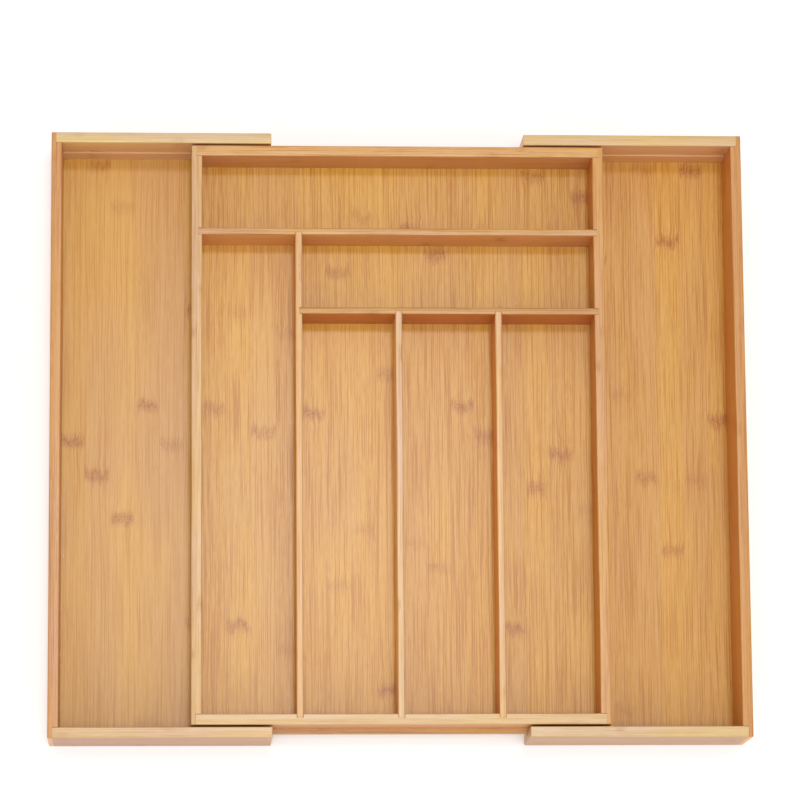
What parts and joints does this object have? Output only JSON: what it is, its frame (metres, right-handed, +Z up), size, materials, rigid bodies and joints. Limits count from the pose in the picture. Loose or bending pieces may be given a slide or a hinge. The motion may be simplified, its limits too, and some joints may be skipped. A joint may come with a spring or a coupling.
{
  "type": "expandable drawer organizer insert",
  "caption": "Bamboo drawer insert: a fixed centre tray with rectangular compartments, and a side tray that slides out from under it on the left and on the right.",
  "frame": {"origin": "on the drawer's floor, under the middle of the insert when it is fully extended", "axes": "+X to the right, along the slides; +Y to the rear; +Z up"},
  "size_m": [0.52, 0.456, 0.06],
  "materials": {
    "bamboo_wall": "satin lacquer",
    "bamboo_rail": "satin lacquer",
    "bamboo_divider": "satin lacquer",
    "bamboo_base": "satin lacquer",
    "bamboo_tongue": "satin lacquer",
    "brad_steel": "bright wire"
  },
  "bodies": {
    "centre_tray": {"centre_left_wall": "bamboo_wall", "centre_right_wall": "bamboo_wall", "centre_front_rail": "bamboo_rail", "centre_rear_rail": "bamboo_rail", "centre_base": "bamboo_base", "long_cross_divider": "bamboo_divider", "short_cross_divider": "bamboo_divider", "tall_divider": "bamboo_divider", "left_cutlery_divider": "bamboo_divider", "right_cutlery_divider": "bamboo_divider", "front_tongue": "bamboo_tongue", "rear_tongue": "bamboo_tongue", "centre_brads": "brad_steel"},
    "left_tray": {"left_outer_wall": "bamboo_wall", "left_front_rail": "bamboo_rail", "left_rear_rail": "bamboo_rail", "left_base": "bamboo_base", "left_brads": "brad_steel"},
    "right_tray": {"right_outer_wall": "bamboo_wall", "right_front_rail": "bamboo_rail", "right_rear_rail": "bamboo_rail", "right_base": "bamboo_base", "right_brads": "brad_steel"}
  },
  "joints": [
    {"name": "left_slide", "type": "slide", "parent": "centre_tray", "child": "left_tray", "axis": [1, 0, 0], "range_m": [0, 0.0945]},
    {"name": "right_slide", "type": "slide", "parent": "centre_tray", "child": "right_tray", "axis": [-1, 0, 0], "range_m": [0, 0.0945]}
  ]
}
